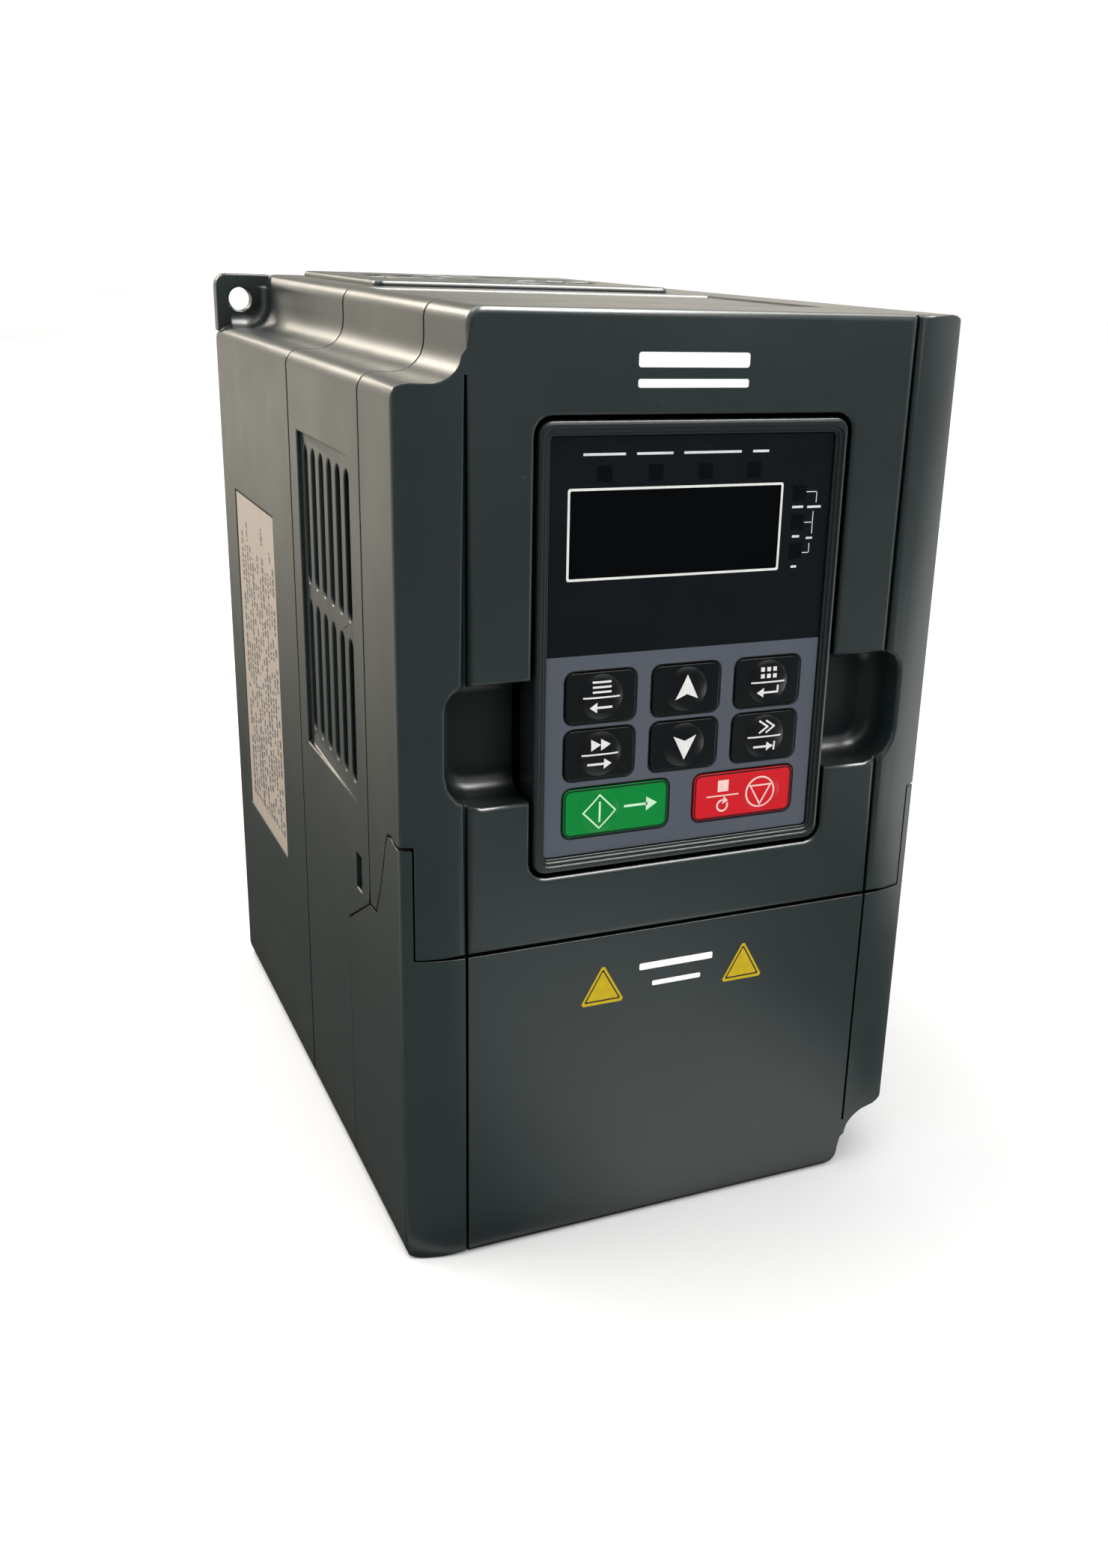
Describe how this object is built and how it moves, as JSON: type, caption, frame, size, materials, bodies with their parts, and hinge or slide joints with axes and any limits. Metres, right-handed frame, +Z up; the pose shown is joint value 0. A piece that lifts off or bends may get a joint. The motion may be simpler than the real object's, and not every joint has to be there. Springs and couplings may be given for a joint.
{
  "type": "variable frequency drive",
  "caption": "Wall-mounted motor speed drive: dark plastic case with side vents, corner screw ears, plug-in keypad and clip-on terminal cover.",
  "frame": {"origin": "middle of the bounding box at the base", "axes": "+Z up, the keypad faces -Y, +X to the right as seen by someone facing the keypad"},
  "size_m": [0.1134, 0.157, 0.1862],
  "materials": {
    "case": "dark grey-green moulded plastic, fine satin texture",
    "aluminium": "extruded aluminium, light lengthwise die lines",
    "black_plastic": "black moulded plastic",
    "steel": "zinc-plated steel",
    "brass": "plain brass",
    "copper": "enamelled copper winding",
    "board": "green solder resist",
    "sleeve": "dark shrink sleeve",
    "ferrite": "sintered ferrite",
    "tape": "yellow polyester tape",
    "relay": "blue moulded plastic",
    "terminal": "black moulded plastic",
    "terminal_green": "green moulded plastic",
    "overlay": "printed film, navy black above and slate grey below",
    "window": "smoked clear window",
    "lamp": "smoked light guide, unlit",
    "clear_plastic": "clear moulded plastic",
    "key_black": "embossed film, near black",
    "key_green": "embossed film, green",
    "key_red": "embossed film, red",
    "label": "off-white paper label under film"
  },
  "bodies": {
    "case": {"rear_housing": "case", "middle_housing": "case", "front_cover": "case", "heatsink": "aluminium", "power_board": "board", "control_board": "board", "power_module": "black_plastic", "rectifier": "black_plastic", "bus_capacitor_1": "sleeve", "bus_capacitor_2": "sleeve", "transformer_core": "ferrite", "transformer_coil": "tape", "soft_start_relay": "relay", "filter_choke": "copper", "board_link_header": "black_plastic", "processor_chip": "black_plastic", "keypad_socket": "black_plastic", "power_terminal_block": "terminal", "control_terminal_block": "terminal_green", "nameplate": "label", "heatsink_screw_1": "steel", "control_board_screw_1": "steel", "board_standoff_1": "brass", "heatsink_screw_2": "steel", "control_board_screw_2": "steel", "board_standoff_2": "brass", "heatsink_screw_3": "steel", "control_board_screw_3": "steel", "board_standoff_3": "brass", "heatsink_screw_4": "steel", "control_board_screw_4": "steel", "board_standoff_4": "brass", "earth_screw_1": "brass", "earth_screw_2": "brass"},
    "keypad": {"keypad_bezel": "case", "keypad_overlay": "overlay", "display_window": "window", "display_module": "black_plastic", "status_light_guide": "lamp", "unit_light_guide": "lamp", "dome_sheet": "steel", "keypad_board": "board", "keypad_back": "case", "keypad_plug": "clear_plastic"},
    "terminal_cover": {"terminal_cover": "case"},
    "fan_module": {"fan_cover": "case", "fan_frame": "black_plastic", "fan_bearing": "brass"},
    "fan_rotor": {"fan_rotor": "black_plastic"},
    "key_program": {"key_program": "key_black"},
    "key_up": {"key_up": "key_black"},
    "key_enter": {"key_enter": "key_black"},
    "key_jog": {"key_jog": "key_black"},
    "key_down": {"key_down": "key_black"},
    "key_shift": {"key_shift": "key_black"},
    "key_run": {"key_run": "key_green"},
    "key_stop": {"key_stop": "key_red"}
  },
  "joints": [
    {"name": "keypad_pull", "type": "slide", "parent": "case", "child": "keypad", "axis": [0, -1, 0], "range_m": [0, 0.045]},
    {"name": "terminal_cover_pull", "type": "slide", "parent": "case", "child": "terminal_cover", "axis": [0, -1, 0], "range_m": [0, 0.06]},
    {"name": "fan_module_lift", "type": "slide", "parent": "case", "child": "fan_module", "axis": [0, 0, 1], "range_m": [0, 0.045]},
    {"name": "fan_spin", "type": "hinge", "parent": "fan_module", "child": "fan_rotor", "pos_m": [0, 0.0422, 0.1752], "axis": [0, 0, 1], "continuous": true},
    {"name": "key_program_press", "type": "slide", "parent": "keypad", "child": "key_program", "axis": [0, 1, 0], "range_m": [0, 0.00045], "stiffness_N_per_m": 800, "springref_m": -0.0003},
    {"name": "key_up_press", "type": "slide", "parent": "keypad", "child": "key_up", "axis": [0, 1, 0], "range_m": [0, 0.00045], "stiffness_N_per_m": 800, "springref_m": -0.0003},
    {"name": "key_enter_press", "type": "slide", "parent": "keypad", "child": "key_enter", "axis": [0, 1, 0], "range_m": [0, 0.00045], "stiffness_N_per_m": 800, "springref_m": -0.0003},
    {"name": "key_jog_press", "type": "slide", "parent": "keypad", "child": "key_jog", "axis": [0, 1, 0], "range_m": [0, 0.00045], "stiffness_N_per_m": 800, "springref_m": -0.0003},
    {"name": "key_down_press", "type": "slide", "parent": "keypad", "child": "key_down", "axis": [0, 1, 0], "range_m": [0, 0.00045], "stiffness_N_per_m": 800, "springref_m": -0.0003},
    {"name": "key_shift_press", "type": "slide", "parent": "keypad", "child": "key_shift", "axis": [0, 1, 0], "range_m": [0, 0.00045], "stiffness_N_per_m": 800, "springref_m": -0.0003},
    {"name": "key_run_press", "type": "slide", "parent": "keypad", "child": "key_run", "axis": [0, 1, 0], "range_m": [0, 0.00045], "stiffness_N_per_m": 800, "springref_m": -0.0003},
    {"name": "key_stop_press", "type": "slide", "parent": "keypad", "child": "key_stop", "axis": [0, 1, 0], "range_m": [0, 0.00045], "stiffness_N_per_m": 800, "springref_m": -0.0003}
  ]
}
